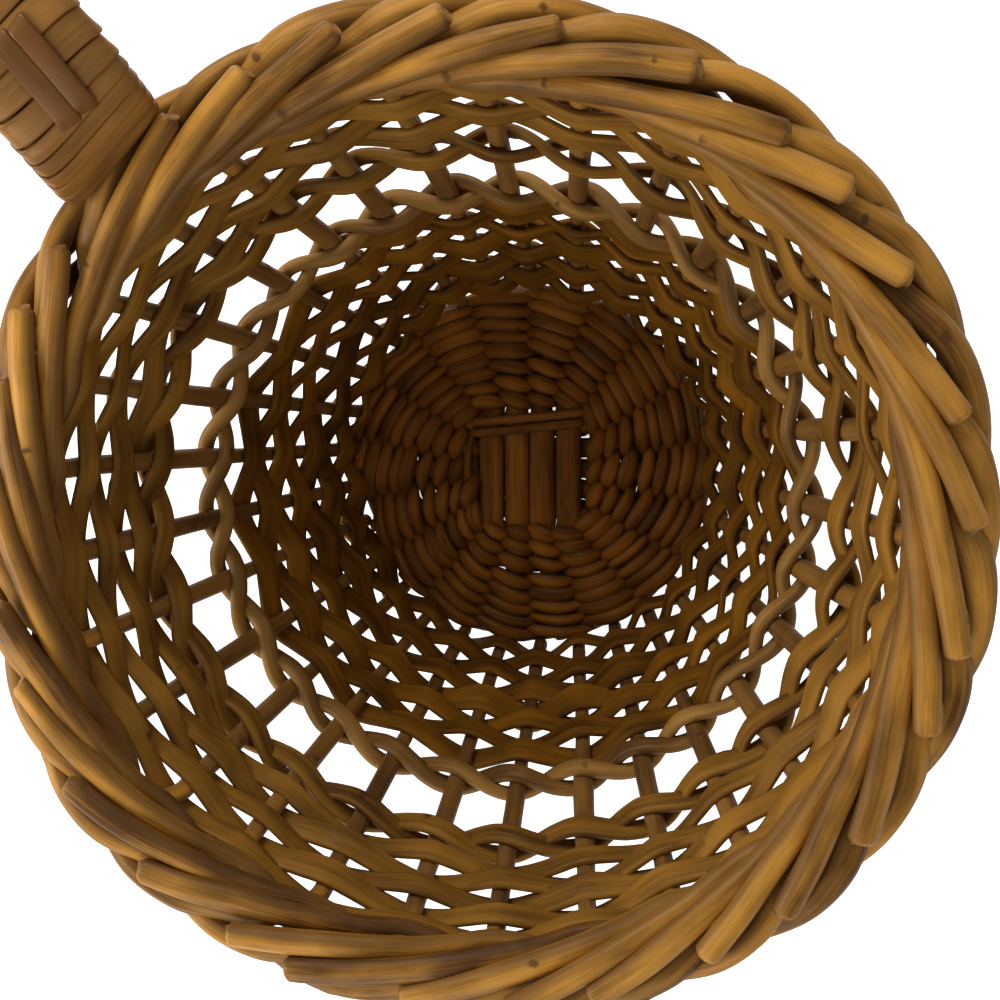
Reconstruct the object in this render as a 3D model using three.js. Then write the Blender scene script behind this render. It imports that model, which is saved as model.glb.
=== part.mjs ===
// Wicker planter basket: a woven willow bowl with an open band round its waist, a rolled border and one side handle.
// Millimetres, +Z up. The origin is the middle of the base on the ground, and the handle points to +X.
import * as THREE from "three";

// Fit between pieces that touch
const gap = 0.3;

// Stakes: the upright rods, each bent over at the top to make one stroke of the border
const stakeCount = 29;
const stakeDiameter = 3.8;
const firstStakeAngle = 6.2; // degrees from the handle

// Wall: the radius and height of the stakes' centre line
const heelRadius = 44.6;
const heelHeight = 9.5;
const bellyRadius = 54;
const bellyHeight = 29;
const waistRadius = 63.3;
const waistHeight = 50;
const shoulderRadius = 70.8;
const shoulderHeight = 66;
const rimRadius = 82.5;
const turnHeight = 92; // where the stakes turn over into the border

// Weavers: split willow, flat against the wall
const weaverThickness = 2.4;
const lowerWeaverCount = 4;
const lowerWeaverWidth = 3.9;
const upperWeaverCount = 2;
const upperWeaverWidth = 3.3;
const leastRowSpace = 0.2; // between one row and the next
const heelClearance = 0.5; // from the heel up to the middle of the first lower row
const turnClearance = 6; // from the middle of the last upper row up to where the stakes turn over

// Pairs: the two twisted rods that edge the open band, above and below
const pairDiameter = 3;
const lowerPairHeight = 50;
const upperPairHeight = 66;
const lowerPairClearance = 4.6; // from the middle of the last lower row up to the lower pair
const upperPairClearance = 5.1; // from the upper pair up to the middle of the first upper row

// Base: two layers of crossed sticks, opened out into spokes, with a pair of weavers round them
const topStickCount = 4;
const topStickWidth = 5.4;
const bottomStickCount = 5;
const bottomStickWidth = 4.2;
const stickThickness = 3.6;
const stickSpace = 0.8; // between neighbouring sticks
const spokeWidth = 3;
const spokeThickness = 3.2;
const baseWeaverWidth = 2.8;
const baseWeaverThickness = 1.6;
const baseRoundPitch = 3.4;
const baseRounds = 6;
const baseWeaveRadius = 19; // of the first round
const baseTurn = 50; // degrees from the handle to the bottom sticks
const crossingAngle = 90; // degrees from the bottom sticks to the top ones

// Handle: four rods side by side, wrapped with one cane strip, with two strips laid along the outside
const handleRodCount = 4;
const handleRodDiameter = 4.8;
const handleAside = 3.4; // how far the middle of its upper end lies to the side of straight out
const handleSkew = 1.5; // degrees that the loop is turned from straight out
const handleLean = 0.3; // how far the loop leans to that side, for each millimetre down
const wrapWidth = 4.4;
const wrapThickness = 1.2;
const wrapGap = 0.6; // the strips are stiff and stand a little off the bends
const wrapTurns = 22;
const upperBareLength = 6; // of the rods at their upper end, before the wrap
const lowerBareLength = 12; // and at their lower end
const layWidth = 4.6;
const layThickness = 1;
const layInset = 7; // how far the laid strips stop short of the wrap's ends
const loopReach = 54; // how far the loop stands out from the border
const loopRise = 24; // how far it stands above the border's outer rods
const loopDrop = 50; // its whole height
const upperEndClearance = 1.2; // from the border's outer rods up to the middle of the handle's slanted end
const lowerEndClearance = 0.3; // from the border's underside down to the middle of its other end

// Colours of the willow and the cane
const stakeWillow = new THREE.MeshStandardMaterial({ color: 0x7d5428, roughness: 0.5, metalness: 0 });
const weaverWillow = new THREE.MeshStandardMaterial({ color: 0x8a5d2a, roughness: 0.55, metalness: 0 });
const stickWillow = new THREE.MeshStandardMaterial({ color: 0x6b431c, roughness: 0.6, metalness: 0 });
const handleCane = new THREE.MeshStandardMaterial({ color: 0x9a6c36, roughness: 0.4, metalness: 0 });

const degrees = Math.PI / 180;
const stakeStep = 360 / stakeCount;
const cornerReach = 0.56; // centre to corner of a four-sided rod, for each millimetre of a round one
const stakeReach = stakeDiameter * cornerReach;
const up = new THREE.Vector3(0, 0, 1);

// A rod's route through given points, with the direction that its section faces at each one.
// A depth makes the section that many times thicker there, and a span that many times wider.
class RodRoute extends THREE.Curve {
  constructor(stops) {
    super();
    this.stops = stops;
  }

  getPointAt(share) {
    return this.stops[Math.round(share * (this.stops.length - 1))].at.clone();
  }

  computeFrenetFrames() {
    const last = this.stops.length - 1;
    const frames = { tangents: [], normals: [], binormals: [] };
    this.stops.forEach((stop, i) => {
      const before = this.stops[Math.max(i - 1, 0)].at;
      const after = this.stops[Math.min(i + 1, last)].at;
      const tangent = after.clone().sub(before).normalize();
      const facing = stop.facing.clone().addScaledVector(tangent, -stop.facing.dot(tangent)).normalize();
      frames.tangents.push(tangent);
      frames.binormals.push(tangent.clone().cross(facing).multiplyScalar(stop.span ?? 1));
      frames.normals.push(facing.multiplyScalar(stop.depth ?? 1));
    });
    return frames;
  }
}

// Sections: corners towards the neighbours, flats towards them, and a stick with a flat top and bottom
function diamond(reach) {
  return new THREE.Shape([
    new THREE.Vector2(reach, 0),
    new THREE.Vector2(0, reach),
    new THREE.Vector2(-reach, 0),
    new THREE.Vector2(0, -reach),
  ]);
}

function flat(thickness, width) {
  return new THREE.Shape([
    new THREE.Vector2(thickness / 2, -width / 2),
    new THREE.Vector2(thickness / 2, width / 2),
    new THREE.Vector2(-thickness / 2, width / 2),
    new THREE.Vector2(-thickness / 2, -width / 2),
  ]);
}

function sixSided(thickness, width) {
  return new THREE.Shape([
    new THREE.Vector2(0, width / 2),
    new THREE.Vector2(-thickness / 2, width / 4),
    new THREE.Vector2(-thickness / 2, -width / 4),
    new THREE.Vector2(0, -width / 2),
    new THREE.Vector2(thickness / 2, -width / 4),
    new THREE.Vector2(thickness / 2, width / 4),
  ]);
}

const basket = new THREE.Group();

function addRod(name, stops, section, material) {
  const options = { steps: stops.length - 1, bevelEnabled: false, extrudePath: new RodRoute(stops) };
  const mesh = new THREE.Mesh(new THREE.ExtrudeGeometry(section, options), material);
  mesh.name = name;
  basket.add(mesh);
  return mesh;
}

// A point given by its angle round the basket, its radius and its height
function around(angle, radius, height) {
  return new THREE.Vector3(radius * Math.cos(angle * degrees), radius * Math.sin(angle * degrees), height);
}

// How far a weaver's middle keeps from the middle of what it passes, when it swings from side to side.
// The steeper it swings, the further out it has to turn, so the distance is found in a few passes.
const swingPasses = 12;

function swing(halfHeight, halfTop, thickness, run) {
  let offset = halfHeight + gap + thickness / 2;
  for (let pass = 0; pass < swingPasses; pass += 1) {
    const slope = offset / run;
    offset = halfHeight + halfTop * slope + (thickness / 2 + gap / 2) * Math.hypot(1, slope);
  }
  return offset;
}

// Base
const spokeCount = 2 * (topStickCount + bottomStickCount);
const spokeStep = 360 / spokeCount;

function baseSwing(radius) {
  const run = (radius - baseWeaverWidth / 2) * Math.sin((spokeStep / 2) * degrees);
  return swing(spokeThickness / 2, spokeWidth / 4, baseWeaverThickness, run);
}

const baseWeaveEnd = baseWeaveRadius + baseRoundPitch * baseRounds;
const baseEdge = baseWeaveEnd + baseWeaverWidth / 2;
const spokeStart = baseWeaveRadius - baseWeaverWidth / 2 - gap;

// The spokes' height keeps the weavers' undersides on the ground at the first and the last round.
function spokeHeight(radius) {
  const share = (radius - baseWeaveRadius) / (baseWeaveEnd - baseWeaveRadius);
  return THREE.MathUtils.lerp(baseSwing(baseWeaveRadius), baseSwing(baseWeaveEnd), share) + baseWeaverThickness / 2;
}

// Each stick lies level over most of the crossing in the middle, and opens into one spoke at each end.
const levelShare = 0.85;

function addSticks(label, count, stickWidth, acrossWidth, middleHeight, turn) {
  const halfCross = acrossWidth / 2;
  for (let n = 0; n < count; n += 1) {
    const side = (n - (count - 1) / 2) * (stickWidth + stickSpace);
    const fan = (n - (count - 1) / 2) * spokeStep;
    const half = [
      { along: halfCross * levelShare, aside: side, height: middleHeight, width: stickWidth, thickness: stickThickness },
      { along: halfCross, aside: side, height: middleHeight, width: stickWidth, thickness: stickThickness },
      ...[spokeStart, baseWeaveEnd].map((radius) => ({
        along: radius * Math.cos(fan * degrees),
        aside: radius * Math.sin(fan * degrees),
        height: spokeHeight(radius),
        width: spokeWidth,
        thickness: spokeThickness,
      })),
    ];
    const stops = [...half.map((stop) => ({ ...stop, along: -stop.along })).reverse(), ...half].map((stop) => ({
      at: new THREE.Vector3(stop.along, stop.aside, stop.height).applyAxisAngle(up, turn * degrees),
      facing: up,
      depth: stop.thickness / stickThickness,
      span: stop.width / stickWidth,
    }));
    addRod(`${label}_base_stick_${n + 1}`, stops, sixSided(stickThickness, stickWidth), stickWillow);
  }
}

const topAcross = topStickCount * (topStickWidth + stickSpace);
const bottomAcross = bottomStickCount * (bottomStickWidth + stickSpace);
const topMiddle = stickThickness * 1.5 + gap;
addSticks("bottom", bottomStickCount, bottomStickWidth, topAcross, stickThickness / 2, baseTurn);
addSticks("top", topStickCount, topStickWidth, bottomAcross, topMiddle, baseTurn + crossingAngle);

// The two base weavers twist round each other once between every two spokes, one over and one under each spoke.
const crossedWidth = 0.28; // share of a weaver's width left where the two cross
const crossedApart = (baseRoundPitch - crossedWidth * baseWeaverWidth) / 2 - gap;
for (let n = 0; n < 2; n += 1) {
  const stops = [];
  for (let half = 0; half <= 2 * spokeCount * baseRounds; half += 1) {
    const quarter = (half + 2 * n) % 4;
    const radius = baseWeaveRadius + (baseRoundPitch * half) / (2 * spokeCount);
    const lift = [1, 0, -1, 0][quarter] * baseSwing(radius);
    const apart = [0, 1, 0, -1][quarter] * crossedApart;
    stops.push({
      at: around(baseTurn + (half * spokeStep) / 2, radius + apart, spokeHeight(radius) + lift),
      facing: up,
      span: half % 2 ? crossedWidth : 1,
    });
  }
  addRod(`base_weaver_${n + 1}`, stops, flat(baseWeaverThickness, baseWeaverWidth), weaverWillow);
}

// Wall: the stakes' line from the base to where they turn, as straight stretches
const footHeight = stakeDiameter;
const wallLine = [
  [baseEdge + gap + stakeReach, footHeight],
  [heelRadius, heelHeight],
  [bellyRadius, bellyHeight],
  [waistRadius, waistHeight],
  [shoulderRadius, shoulderHeight],
  [rimRadius, turnHeight],
].map(([radius, height]) => new THREE.Vector2(radius, height));

// The wall's radius and slope at a height
function wallAt(height) {
  let n = 0;
  while (n < wallLine.length - 2 && height > wallLine[n + 1].y) n += 1;
  const rise = wallLine[n + 1].clone().sub(wallLine[n]);
  const radius = wallLine[n].x + (rise.x * (height - wallLine[n].y)) / rise.y;
  return { radius, rise: rise.normalize() };
}

// A point on the wall, moved out from it and up along it
function onWall(stakes, height, out, along) {
  const { radius, rise } = wallAt(height);
  const angle = firstStakeAngle + stakes * stakeStep;
  return {
    at: around(angle, radius + out * rise.y + along * rise.x, height - out * rise.x + along * rise.y),
    facing: around(angle, rise.y, -rise.x),
  };
}

function wallSwing(height, thickness) {
  const run = wallAt(height).radius * Math.tan((stakeStep / 2) * degrees);
  return swing(stakeReach, 0, thickness, run);
}

// Weavers go in front of one stake and behind the next, and climb round the wall.
// Each takes as many turns as fit, and one ends where the next begins, halfway between two stakes.
function addWeavers(label, count, width, startHeight, endHeight) {
  const turns = Math.floor((endHeight - startHeight) / (count * (width + leastRowSpace)));
  const crossings = stakeCount * turns;
  const total = crossings * count;
  const heightAt = (crossing) => startHeight + ((endHeight - startHeight) * crossing) / total;
  for (let n = 0; n < count; n += 1) {
    const stops = [];
    for (let k = 0; k < crossings; k += 1) {
      const crossing = n * crossings + k;
      const height = heightAt(crossing);
      const side = crossing % 2 ? 1 : -1;
      stops.push(onWall(crossing, height, side * wallSwing(height, weaverThickness), 0));
    }
    const endShare = 0.5 - gap / (rimRadius * stakeStep * degrees);
    stops.unshift(onWall(n * crossings - endShare, heightAt(n * crossings - endShare), 0, 0));
    stops.push(onWall((n + 1) * crossings - 1 + endShare, heightAt((n + 1) * crossings - 1 + endShare), 0, 0));
    addRod(`${label}_weaver_${n + 1}`, stops, flat(weaverThickness, width), weaverWillow);
  }
}

const lowerWeaveStart = heelHeight + heelClearance;
const lowerWeaveEnd = lowerPairHeight - lowerPairClearance;
const upperWeaveStart = upperPairHeight + upperPairClearance;
const upperWeaveEnd = turnHeight - turnClearance;
addWeavers("lower", lowerWeaverCount, lowerWeaverWidth, lowerWeaveStart, lowerWeaveEnd);
addWeavers("upper", upperWeaverCount, upperWeaverWidth, upperWeaveStart, upperWeaveEnd);

// Each pair goes round once, one rod in front and one behind every stake, and crosses over between stakes.
function addPair(label, height) {
  const reach = pairDiameter * cornerReach;
  const out = wallSwing(height, 2 * reach);
  for (let n = 0; n < 2; n += 1) {
    const stops = [];
    for (let half = 0; half <= 2 * (stakeCount - 1); half += 1) {
      const quarter = (half + 2 * n) % 4;
      const side = [1, 0, -1, 0][quarter] * out;
      const along = [0, -1, 0, 1][quarter] * (reach + gap / 2);
      stops.push(onWall(half / 2, height, side, along));
    }
    addRod(`${label}_pair_rod_${n + 1}`, stops, diamond(reach), weaverWillow);
  }
}

addPair("lower", lowerPairHeight);
addPair("upper", upperPairHeight);

// Border: where each stake runs after it turns over.
// Stakes along, and rod widths out from and up from the turn.
const rodPitch = stakeDiameter + gap;
const borderRun = [
  [0.45, 0.5, 1.05],
  [0.75, 0.9, 1.2],
  [1.25, 1.75, 1.35],
  [1.75, 2.1, 1.05],
  [2.25, 1.98, 0.25],
  [2.75, 1.45, -0.35],
  [3.25, 0.5, -0.6],
  [3.7, -0.85, -0.5],
  [4, -1.2, -0.25],
  [4.4, -1.12, 0.5],
  [4.8, -0.92, 1.45],
  [5.25, -0.55, 2.08],
  [5.75, 0.02, 2.42],
  [6.25, 0.62, 2.4],
  [6.8, 1.15, 2.3],
];

for (let n = 0; n < stakeCount; n += 1) {
  const angle = firstStakeAngle + n * stakeStep;
  const wallStops = wallLine.map((point) => ({
    at: around(angle, point.x, point.y),
    facing: around(angle, 1, 0),
  }));
  const borderStops = borderRun.map(([stakes, out, rise]) => ({
    at: around(angle - stakes * stakeStep, rimRadius + out * rodPitch, turnHeight + rise * rodPitch),
    facing: around(angle - stakes * stakeStep, 1, 0),
  }));
  addRod(`stake_${String(n + 1).padStart(2, "0")}`, [...wallStops, ...borderStops], diamond(stakeReach), stakeWillow);
}

// Handle: its line starts on top of the border, rises, leans out, and comes back under the border.
const handleReach = handleRodDiameter * cornerReach;
const [, crestOut, crestRise] = borderRun[3]; // where the border's rods lie furthest out
const [, underOut, underRise] = borderRun[5]; // and where they turn in below
const handleStart = new THREE.Vector3(
  rimRadius + crestOut * rodPitch,
  handleAside,
  turnHeight + crestRise * rodPitch + stakeReach + upperEndClearance,
);
const handleEnd = new THREE.Vector3(
  rimRadius + underOut * rodPitch + gap,
  handleAside,
  turnHeight + underRise * rodPitch - stakeReach - lowerEndClearance,
);
const loopShape = [
  [0, 0],
  [0.07 * loopReach, 0.42 * loopRise],
  [0.25 * loopReach, 0.78 * loopRise],
  [0.5 * loopReach, 0.97 * loopRise],
  [0.74 * loopReach, 0.93 * loopRise],
  [0.93 * loopReach, 0.58 * loopRise],
  [loopReach, loopRise - 0.45 * loopDrop],
  [0.93 * loopReach, loopRise - 0.72 * loopDrop],
  [0.74 * loopReach, loopRise - 0.93 * loopDrop],
  [0.47 * loopReach, loopRise - loopDrop],
  [0.2 * loopReach, loopRise - 0.92 * loopDrop],
];
const loopLine = new THREE.CatmullRomCurve3([
  ...loopShape.map(([out, rise]) => handleStart.clone().add(new THREE.Vector3(out, 0, rise))),
  handleEnd,
]);
const loopLength = loopLine.getLength();
const sideways = new THREE.Vector3(0, 1, 0);

// A place on the strap: a distance along its line, and how far out from the line and to the side
function onStrap(distance, out, aside) {
  const share = THREE.MathUtils.clamp(distance / loopLength, 0, 1);
  const tangent = loopLine.getTangentAt(share);
  const outward = new THREE.Vector3(-tangent.z, 0, tangent.x);
  const at = loopLine.getPointAt(share).addScaledVector(outward, out).addScaledVector(sideways, aside);
  at.addScaledVector(sideways, (handleStart.z - at.z) * handleLean);
  at.sub(handleStart).applyAxisAngle(up, handleSkew * degrees).add(handleStart);
  return { at, facing: outward.applyAxisAngle(up, handleSkew * degrees) };
}

const handleSteps = 26;
const handlePitch = 2 * handleReach + gap;
for (let n = 0; n < handleRodCount; n += 1) {
  const aside = (n - (handleRodCount - 1) / 2) * handlePitch;
  const stops = [];
  for (let step = 0; step <= handleSteps; step += 1) {
    stops.push(onStrap((loopLength * step) / handleSteps, 0, aside));
  }
  addRod(`handle_rod_${n + 1}`, stops, diamond(handleReach), stickWillow);
}

// The wrap goes round the four rods in eight straight stretches a turn.
const wrapStart = upperBareLength;
const wrapEnd = loopLength - lowerBareLength;
const wrapOut = handleReach + wrapGap + wrapThickness / 2;
const wrapSide = ((handleRodCount - 1) / 2) * handlePitch + wrapOut;
const wrapFace = wrapSide * 0.8; // where the wrap's flat faces end
const wrapEdge = wrapOut * 0.36; // and where its two edges end
const wrapCorners = [
  [wrapOut, wrapFace],
  [wrapEdge, wrapSide],
  [-wrapEdge, wrapSide],
  [-wrapOut, wrapFace],
  [-wrapOut, -wrapFace],
  [-wrapEdge, -wrapSide],
  [wrapEdge, -wrapSide],
  [wrapOut, -wrapFace],
];
const wrapStops = [];
for (let step = 0; step <= wrapTurns * wrapCorners.length; step += 1) {
  const [out, aside] = wrapCorners[step % wrapCorners.length];
  const distance = wrapStart + ((wrapEnd - wrapStart) * step) / (wrapTurns * wrapCorners.length);
  const at = onStrap(distance, out, aside).at;
  const middle = onStrap(distance, 0, (aside * wrapFace) / wrapSide).at;
  wrapStops.push({ at, facing: at.clone().sub(middle) });
}
addRod("handle_wrap", wrapStops, flat(wrapThickness, wrapWidth), handleCane);

// The least gap between one turn of the wrap and the next
const turnSpace = wrapStops
  .slice(wrapCorners.length)
  .map((stop, i) => stop.at.distanceTo(wrapStops[i].at) - wrapWidth);
console.log(`least gap between turns of the handle wrap: ${Math.min(...turnSpace).toFixed(2)} mm`);

// Two strips are laid along the outside of the wrap.
const layStart = wrapStart + layInset;
const layEnd = wrapEnd - layInset;
for (let n = 0; n < 2; n += 1) {
  const aside = (n - 0.5) * (layWidth + gap);
  const stops = [];
  for (let step = 0; step <= handleSteps; step += 1) {
    const distance = layStart + ((layEnd - layStart) * step) / handleSteps;
    stops.push(onStrap(distance, wrapOut + wrapThickness / 2 + wrapGap + layThickness / 2, aside));
  }
  addRod(`handle_lay_strip_${n + 1}`, stops, flat(layThickness, layWidth), handleCane);
}

export default basket;
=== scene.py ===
# Wicker planter basket: every rod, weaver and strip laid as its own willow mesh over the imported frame.
import math

import bpy
import numpy as np
from mathutils import Matrix, Vector


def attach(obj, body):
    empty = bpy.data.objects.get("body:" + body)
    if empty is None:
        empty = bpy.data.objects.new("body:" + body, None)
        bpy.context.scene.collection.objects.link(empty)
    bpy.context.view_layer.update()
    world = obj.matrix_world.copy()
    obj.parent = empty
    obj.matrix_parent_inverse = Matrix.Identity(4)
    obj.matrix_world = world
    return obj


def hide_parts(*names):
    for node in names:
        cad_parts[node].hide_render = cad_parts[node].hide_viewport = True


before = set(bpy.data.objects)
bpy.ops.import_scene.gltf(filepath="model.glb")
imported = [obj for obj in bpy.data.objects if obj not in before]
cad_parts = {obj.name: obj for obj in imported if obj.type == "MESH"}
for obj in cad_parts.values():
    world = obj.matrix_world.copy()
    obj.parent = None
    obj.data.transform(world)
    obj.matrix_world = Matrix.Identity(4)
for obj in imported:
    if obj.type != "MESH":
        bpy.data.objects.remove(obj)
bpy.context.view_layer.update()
print("frame loaded:", len(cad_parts), "nodes")

mm = 0.001  # lengths below are in millimetres, and meshes are made in metres
anyTurn = 6.3  # a random turn is up to this, in radians

# The bowl: where its stakes stand and the line that they follow
bowl = {
    "stakes": 29,
    "firstStake": 6.2,  # degrees from the handle
    "stakeDrift": 0.8,  # how far a stake may stand off its even place, in degrees
    "line": [(43.2, 3.8), (44.6, 9.5), (54, 29), (63.3, 50), (70.8, 66), (82.5, 92)],  # radius and height
    "rimRadius": 82.5,
    "turnHeight": 92,  # where the stakes turn over into the border
    "rimBulge": 1.8,  # how far the border stands out on one side
    "bulgeAt": 90,  # where that side is, in degrees
    "bulgeReach": 24,  # how far it goes to either hand, in degrees
    "seed": 29,
}
stakeStep = 360 / bowl["stakes"]

# How every rod grows: a section adds its own size, twist, wander and knots to these
growth = {
    "endRings": (0.15, 0.45, 0.9),  # where the closer rings lie, from either end
    "waves": 3,
    "waveRates": (0.6, 2.2),
    "twistOver": 30,  # the length that a wander of this kind takes
    "outOver": 14,
    "asideOver": 18,
    "broadOver": 75,
    "widthOver": 16,
    "thicknessOver": 12,
    "firstKnot": (0.2, 1), "nextKnot": (0.5, 1.5),  # in knot spaces
    "knotLength": (0.7, 1.3),
    "knotPeak": 8,  # higher for a knot that goes less far round
    "knotFree": 3,  # no knot begins this near the far end
    "slants": (0.4, 1.6),  # how much a cut's own slant differs
    "cutReach": 0.22,
    "edgePeak": 3,  # higher for a thinner line of painted shade along the edges
    "grainApart": 37.7,  # so that no two rods have the same grain
}


def evenLine(stops, step):
    # A smooth line through the stops with a ring every step, and closer rings at its two ends
    at = np.concatenate([[0], np.cumsum(np.linalg.norm(np.diff(stops[:, :3], axis=0), axis=1))])
    length = at[-1]
    near = growth["endRings"]
    middle = np.linspace(0, length, max(int(length / step), 2) + 1)[1:-1]
    where = np.concatenate([[0], near, middle, [length - d for d in reversed(near)], [length]])
    where = np.sort(where)
    slopes = np.gradient(stops, at, axis=0)
    i = np.clip(np.searchsorted(at, where, side="right") - 1, 0, len(at) - 2)
    span = (at[i + 1] - at[i])[:, None]
    t = (where - at[i])[:, None] / span
    rings = (2 * t**3 - 3 * t**2 + 1) * stops[i] + (t**3 - 2 * t**2 + t) * span * slopes[i]
    rings += (3 * t**2 - 2 * t**3) * stops[i + 1] + (t**3 - t**2) * span * slopes[i + 1]
    return rings, where


def unit(vectors):
    return vectors / np.linalg.norm(vectors, axis=-1, keepdims=True)


def drift(dice, where, size, length):
    # A slow random wander along a rod
    waves = 0
    for _ in range(growth["waves"]):
        rate = dice.uniform(*growth["waveRates"])
        waves = waves + np.sin(where / length * rate + dice.uniform(0, anyTurn))
    return size * waves / 2


def leafKnots(dice, where, turns, section):
    # 1 at the middle of a knot, which lies on one side of the rod, and 0 away from all of them
    knots = np.zeros((len(where), len(turns)))
    place = dice.uniform(*growth["firstKnot"]) * section["knotSpace"]
    while place < where[-1] - growth["knotFree"]:
        lengthwise = np.exp(-(((where - place) / dice.uniform(*growth["knotLength"])) ** 2))
        roundwise = np.maximum(np.cos(turns - dice.uniform(0, anyTurn)), 0) ** growth["knotPeak"]
        knots = np.maximum(knots, lengthwise[:, None] * roundwise[None, :])
        place += dice.uniform(*growth["nextKnot"]) * section["knotSpace"]
    return knots


def skin(name, points):
    # Quads between the rings of points, and a fan of triangles over each end
    ringCount, sideCount = points.shape[:2]
    caps = np.array([points[0].mean(0), points[-1].mean(0)])
    corners = np.concatenate([points.reshape(-1, 3), caps]) * mm
    i = np.arange(ringCount - 1)[:, None] * sideCount
    j = np.arange(sideCount)[None, :]
    k = (j + 1) % sideCount
    quads = np.stack([i + j, i + k, i + sideCount + k, i + sideCount + j], -1).reshape(-1, 4)
    last = (ringCount - 1) * sideCount
    cap = ringCount * sideCount
    first = [[cap, int(b), int(a)] for a, b in zip(j[0], k[0])]
    final = [[cap + 1, last + int(a), last + int(b)] for a, b in zip(j[0], k[0])]
    mesh = bpy.data.meshes.new(name)
    mesh.from_pydata(corners.tolist(), [], quads.tolist() + first + final)
    smooth = np.ones(len(mesh.polygons), bool)
    smooth[len(quads):] = False
    mesh.polygons.foreach_set("use_smooth", smooth)
    return mesh


def layRod(name, node, stops, section, seed, finish, tuck=None):
    # Each stop is x, y, z, the way that the rod's face looks, and shares of its width and thickness
    dice = np.random.default_rng(seed)
    rings, where = evenLine(np.asarray(stops, float), section["step"])
    tangent = unit(np.gradient(rings[:, :3], where, axis=0))
    facing = rings[:, 3:6] - tangent * (rings[:, 3:6] * tangent).sum(1)[:, None]
    facing = unit(facing)
    side = np.cross(tangent, facing)
    turn = drift(dice, where, section["twist"], growth["twistOver"])[:, None]
    facing, side = (
        facing * np.cos(turn) + side * np.sin(turn),
        side * np.cos(turn) - facing * np.sin(turn),
    )
    centre = rings[:, :3] + facing * drift(dice, where, section["wander"], growth["outOver"])[:, None]
    centre = centre + side * drift(dice, where, section["wander"], growth["asideOver"])[:, None]

    length = where[-1]
    fromEnd = np.minimum(where, length - where)
    rounded = 1 - section["roundEnd"] * np.maximum(1 - fromEnd / section["endLength"], 0) ** 2
    broad = 1 + drift(dice, where, section["broad"], growth["broadOver"])
    wideDrift = 1 + drift(dice, where, section["uneven"], growth["widthOver"])
    thickDrift = 1 + drift(dice, where, section["uneven"], growth["thicknessOver"])
    halfWide = rings[:, 6] * section["width"] / 2 * broad * wideDrift * rounded
    halfThick = rings[:, 7] * section["thickness"] / 2 * thickDrift * rounded

    turns = np.linspace(0, 2 * math.pi, section["sides"], endpoint=False)
    power = 2 / section["corner"]
    out = np.sign(np.cos(turns)) * np.abs(np.cos(turns)) ** power
    across = np.sign(np.sin(turns)) * np.abs(np.sin(turns)) ** power
    knot = leafKnots(dice, where, turns, section)
    swell = 1 + section["knotSwell"] * knot
    outward = out[None, :] * halfThick[:, None]
    sideways = across[None, :] * halfWide[:, None]
    points = centre[:, None, :] + facing[:, None, :] * (outward * swell)[..., None]
    points = points + side[:, None, :] * (sideways * swell)[..., None]
    for end, way in ((0, 1), (-1, -1)):
        lean = section["slant"] * dice.uniform(*growth["slants"]) * halfThick[end] * out
        points[end] += way * tangent[end] * lean[:, None]
    mesh = skin(name, points)

    # What the finishes read: places in the grain, knots, cut ends, painted shade and the rod's own tone
    fibre = np.zeros(points.shape)
    fibre[..., 0] = sideways
    fibre[..., 1] = outward
    fibre[..., 2] = where[:, None] + seed * growth["grainApart"]
    fibre = np.concatenate([fibre.reshape(-1, 3), [fibre[0].mean(0), fibre[-1].mean(0)]]) * mm
    mesh.attributes.new("fibre", "FLOAT_VECTOR", "POINT").data.foreach_set("vector", fibre.ravel())
    cut = np.repeat(np.exp(-((fromEnd / growth["cutReach"]) ** 2)), len(turns))
    # Painted shade: darker where neighbours lie over the rod, low on the wall and between the spokes, and
    # along both edges; weavers and pairs take an even darkening all along
    shadeMask = np.zeros(len(where)) if tuck is None else np.clip(tuck(where / length, rings), 0, 1)
    edges = section["edgeShade"] * np.abs(np.sin(turns)) ** growth["edgePeak"]
    shadeMask = np.maximum(shadeMask[:, None], edges[None, :])
    masks = {
        "knot": np.append(knot.ravel(), [0, 0]),
        "cut": np.append(cut, [1, 1]),
        "tuck": np.append(shadeMask.ravel(), [shadeMask[0].min(), shadeMask[-1].min()]),
        "tone": np.full(len(fibre), dice.uniform(0, 1)),
    }
    for label, values in masks.items():
        mesh.attributes.new(label, "FLOAT", "POINT").data.foreach_set("value", values.astype(np.float32))

    piece = bpy.data.objects.new(name, mesh)
    bpy.context.scene.collection.objects.link(piece)
    mesh.materials.append(finish)
    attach(piece, "root")
    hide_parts(node)


# Shader groups: what all the finishes use
def openGroup(name, inputs, outputs):
    group = bpy.data.node_groups.new(name, "ShaderNodeTree")
    for label, kind, value in inputs:
        socket = group.interface.new_socket(label, in_out="INPUT", socket_type=kind)
        if value is not None:
            socket.default_value = value
    for label, kind in outputs:
        group.interface.new_socket(label, in_out="OUTPUT", socket_type=kind)
    return group, group.nodes.new("NodeGroupInput").outputs, group.nodes.new("NodeGroupOutput").inputs


def feed(tree, socket, value):
    # value is another node's socket, or a number or colour
    if isinstance(value, bpy.types.NodeSocket):
        tree.links.new(value, socket)
    else:
        socket.default_value = value


def mathNode(tree, operation, a, b, clamp=False):
    node = tree.nodes.new("ShaderNodeMath")
    node.operation = operation
    node.use_clamp = clamp
    feed(tree, node.inputs[0], a)
    feed(tree, node.inputs[1], b)
    return node.outputs[0]


def mixColour(tree, share, a, b):
    node = tree.nodes.new("ShaderNodeMix")
    node.data_type = "RGBA"
    for number, value in ((0, share), (6, a), (7, b)):  # where a colour mix has its factor and colours
        feed(tree, node.inputs[number], value)
    return node.outputs[2]


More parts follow.
